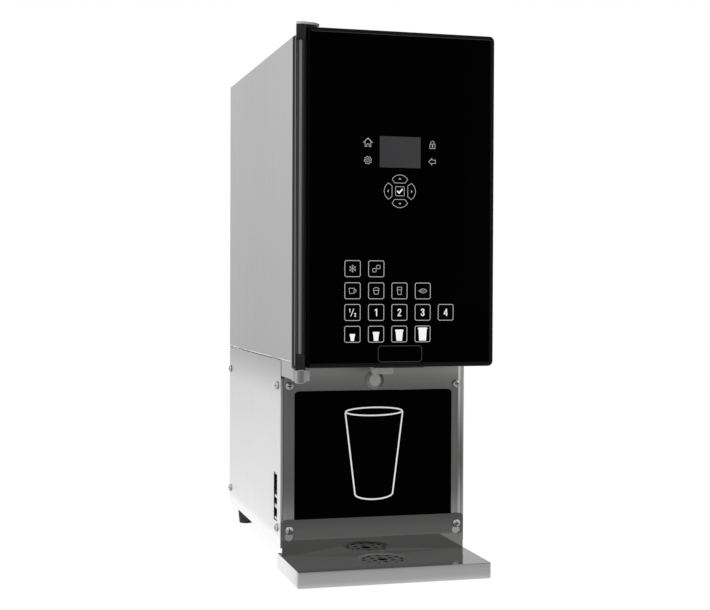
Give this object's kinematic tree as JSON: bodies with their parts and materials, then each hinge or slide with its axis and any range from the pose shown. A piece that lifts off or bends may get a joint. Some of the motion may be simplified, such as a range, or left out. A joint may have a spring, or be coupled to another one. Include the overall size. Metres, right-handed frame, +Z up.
{
  "type": "countertop coffee creamer dispenser",
  "caption": "Countertop refrigerated dispenser with a black glass touch door, a stainless cabinet and base, a cup bay and a lift-off drip tray.",
  "frame": {"origin": "centre of the bounding box at its bottom, where the feet stand on the counter", "axes": "+Z up; the front with the door and the drip tray faces -Y; the hinge side is -X"},
  "size_m": [0.2377, 0.4416, 0.6259],
  "materials": {
    "brushed_steel": "brushed",
    "dark_polished_steel": "polished",
    "galvanised_sheet": "satin",
    "black_frame": "satin",
    "black_glass": "gloss",
    "black_plastic": "matte",
    "black_rubber": "matte",
    "grey_cast": "satin",
    "pale_plastic": "satin",
    "foam": "matte",
    "liner_plastic": "satin",
    "silicone": "satin",
    "circuit_board": "matte",
    "aluminium": "satin",
    "frosted_lens": "frosted",
    "screw_steel": "satin"
  },
  "bodies": {
    "cabinet": {"cabinet_shell": "brushed_steel", "cabinet_floor": "brushed_steel", "cabinet_back": "galvanised_sheet", "insulation": "foam", "liner": "liner_plastic", "evaporator": "aluminium", "hinge_trim": "black_plastic", "top_hinge_plate": "grey_cast", "lower_hinge_bracket": "grey_cast", "product_tank": "pale_plastic", "outlet_tube": "silicone", "valve_body": "grey_cast", "solenoid": "galvanised_sheet", "chassis": "galvanised_sheet", "left_cover": "brushed_steel", "right_cover": "brushed_steel", "splash_panel": "dark_polished_steel", "splash_insert": "black_plastic", "cup_lamp": "frosted_lens", "rear_grille": "galvanised_sheet", "socket_panel": "galvanised_sheet", "switch_body": "black_plastic", "data_socket": "black_plastic", "power_inlet": "black_plastic", "compressor": "black_frame", "condenser": "aluminium", "fan_housing": "black_plastic", "power_supply": "galvanised_sheet", "foot_front_left": "black_rubber", "foot_front_right": "black_rubber", "foot_rear_left": "black_rubber", "foot_rear_right": "black_rubber", "left_cover_screw_front_low": "screw_steel", "left_cover_screw_front_high": "screw_steel", "left_cover_screw_rear_low": "screw_steel", "left_cover_screw_rear_high": "screw_steel", "splash_screw_left": "screw_steel", "tray_screw_left": "screw_steel", "right_cover_screw_front_low": "screw_steel", "right_cover_screw_front_high": "screw_steel", "right_cover_screw_rear_low": "screw_steel", "right_cover_screw_rear_high": "screw_steel", "splash_screw_right": "screw_steel", "tray_screw_right": "screw_steel"},
    "door": {"door_frame": "black_frame", "door_glass": "black_glass", "door_pan": "liner_plastic", "door_gasket": "black_rubber", "display": "black_plastic", "touch_board": "circuit_board", "hinge_bar": "black_frame", "hinge_cap_bottom": "black_plastic", "hinge_cap_top": "black_plastic"},
    "tray": {"drip_tray": "dark_polished_steel", "drip_pan": "brushed_steel"},
    "lid": {"tank_lid": "pale_plastic"},
    "plunger": {"pinch_plunger": "dark_polished_steel"},
    "rocker": {"switch_rocker": "black_plastic"},
    "fan": {"condenser_fan": "black_plastic"}
  },
  "joints": [
    {"name": "door_hinge", "type": "hinge", "parent": "cabinet", "child": "door", "pos_m": [-0.1074, -0.19105, 0.43], "axis": [0, 0, -1], "range_deg": [0, 105]},
    {"name": "tray_lift", "type": "slide", "parent": "cabinet", "child": "tray", "axis": [0, 0, 1], "range_m": [0, 0.0079]},
    {"name": "lid_lift", "type": "slide", "parent": "cabinet", "child": "lid", "axis": [0, 0, 1], "range_m": [0, 0.05]},
    {"name": "pinch_slide", "type": "slide", "parent": "cabinet", "child": "plunger", "axis": [0, 1, 0], "range_m": [0, 0.004], "stiffness_N_per_m": 150},
    {"name": "rocker_tilt", "type": "hinge", "parent": "cabinet", "child": "rocker", "pos_m": [-0.102, -0.09735, 0.09745], "axis": [0, -1, 0], "range_deg": [0, 13.75]},
    {"name": "fan_spin", "type": "hinge", "parent": "cabinet", "child": "fan", "pos_m": [-0.0034, 0.16845, 0.1268], "axis": [0, 1, 0], "continuous": true}
  ]
}
